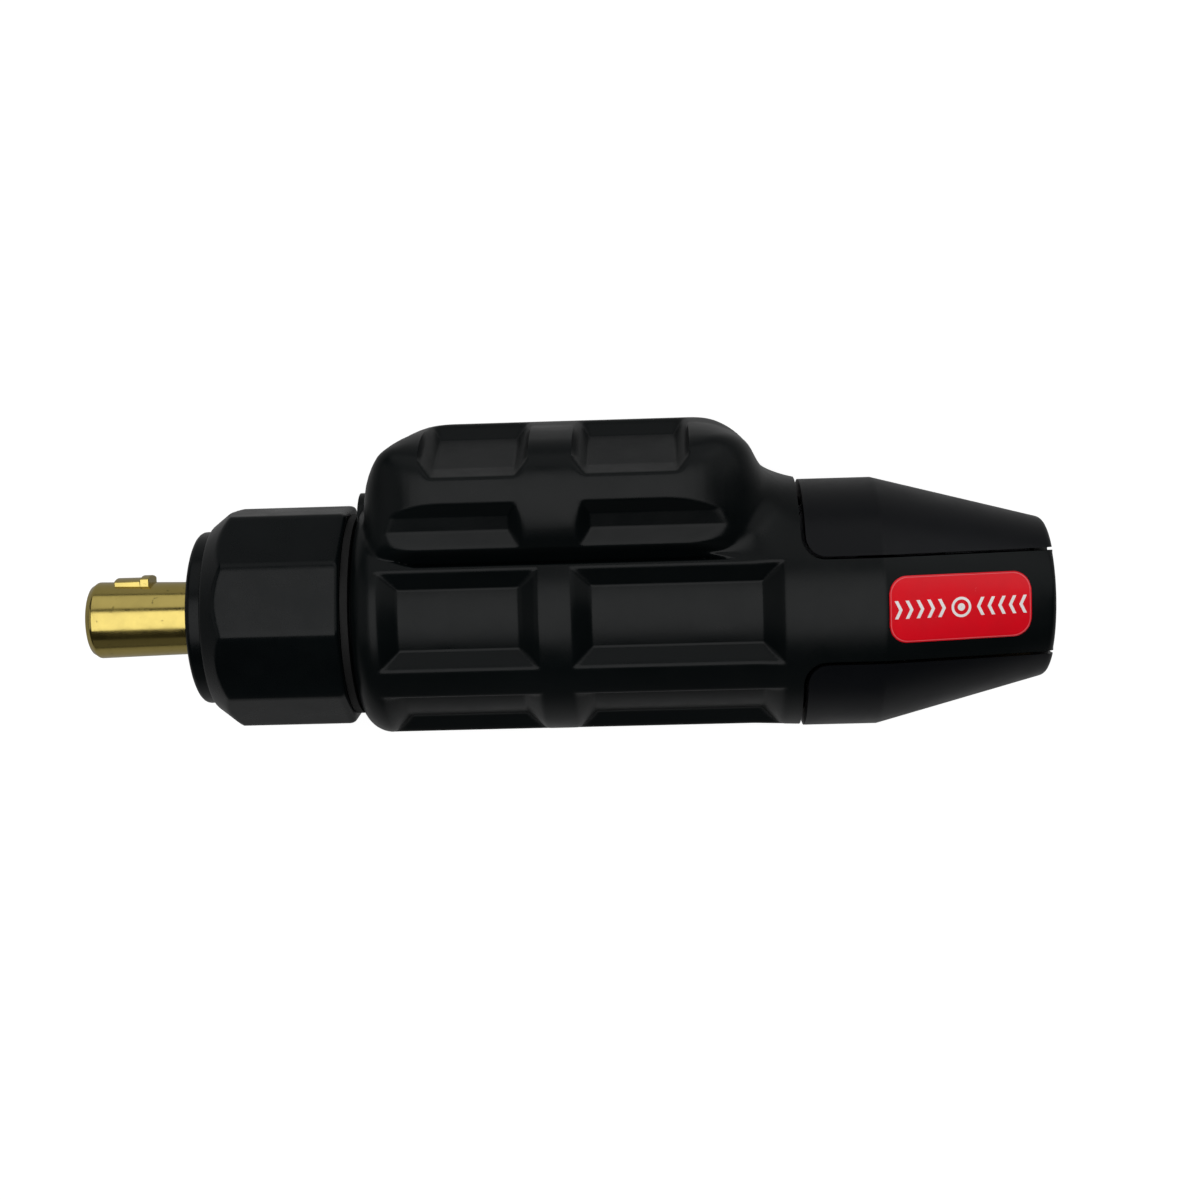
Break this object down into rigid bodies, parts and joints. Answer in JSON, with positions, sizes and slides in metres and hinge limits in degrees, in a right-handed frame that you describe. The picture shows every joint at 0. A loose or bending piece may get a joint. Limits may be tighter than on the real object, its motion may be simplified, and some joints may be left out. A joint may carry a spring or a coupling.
{
  "type": "electrode holder",
  "caption": "Insulated stick-welding electrode holder with bayonet cable plug, sleeve nut, humped grip and a split nose whose side tongues are pressed to open spring-loaded jaws.",
  "frame": {"origin": "on the barrel's axis at the rear face of the collar, where the bayonet plug begins", "axes": "+X along the axis toward the nose, +Y toward the hump, +Z toward the right-hand side, so the holder lies on its left side"},
  "size_m": [0.1724, 0.0565, 0.0478],
  "materials": {
    "black_shell": "satin moulded glass-filled nylon",
    "black_nose": "satin moulded heat-resistant plastic",
    "black_nut": "satin moulded plastic",
    "red_label": "printed plastic label",
    "brass": "turned brass",
    "steel": "zinc-plated steel",
    "copper": "machined copper alloy",
    "rubber": "matt rubber",
    "inner_plastic": "black nylon"
  },
  "bodies": {
    "holder_body": {"right_shell": "black_shell", "left_shell": "black_shell", "shell_screws": "steel", "plug_pin": "brass", "rear_collar": "black_nut", "shank_seal": "rubber", "conductor_bar": "brass", "plug_set_screws": "steel", "pivot_bracket": "steel", "bracket_screws": "steel", "jaw_pivot_pin": "steel", "pivot_clips": "steel", "lower_jaw_contact": "copper", "lower_contact_screws": "steel", "lower_jaw_insulator": "black_nose", "lower_insulator_screw": "steel", "spring_seat": "inner_plastic", "clamp_spring": "steel"},
    "upper_jaw": {"upper_jaw_lever": "steel", "upper_jaw_insulator": "black_nose", "upper_jaw_contact": "copper", "upper_contact_screws": "steel", "upper_insulator_screw": "steel", "spring_cap": "inner_plastic"},
    "right_tongue": {"right_press_tongue": "black_nose", "right_label": "red_label"},
    "left_tongue": {"left_press_tongue": "black_nose", "left_label": "red_label"},
    "slip_washer": {"nut_slip_washer": "inner_plastic"},
    "turning_nut": {"sleeve_nut": "black_nut"}
  },
  "joints": [
    {"name": "right_press", "type": "hinge", "parent": "holder_body", "child": "right_tongue", "pos_m": [0.11315, 0, 0.0193], "axis": [0, 1, 0], "range_deg": [0, 5], "stiffness_Nm_per_rad": 12, "springref_deg": -1.72},
    {"name": "left_press", "type": "hinge", "parent": "holder_body", "child": "left_tongue", "pos_m": [0.11315, 0, -0.0193], "axis": [0, -1, 0], "range_deg": [0, 5]},
    {"name": "jaw_pivot", "type": "hinge", "parent": "holder_body", "child": "upper_jaw", "pos_m": [0.111, 0.014, 0], "axis": [0, 0, 1], "range_deg": [0, 5], "deforming": ["clamp_spring"]},
    {"name": "nut_travel", "type": "slide", "parent": "holder_body", "child": "slip_washer", "axis": [-1, 0, 0], "range_m": [0, 0.006]},
    {"name": "nut_turn", "type": "hinge", "parent": "slip_washer", "child": "turning_nut", "pos_m": [0.015, 0, 0], "axis": [-1, 0, 0], "range_deg": [0, 1080]}
  ],
  "couplings": [
    {"joint": "left_press", "follows": "right_press", "ratio": 1},
    {"joint": "jaw_pivot", "follows": "right_press", "ratio": 1},
    {"joint": "nut_travel", "follows": "nut_turn", "m_per_rad": 0.00031831}
  ]
}
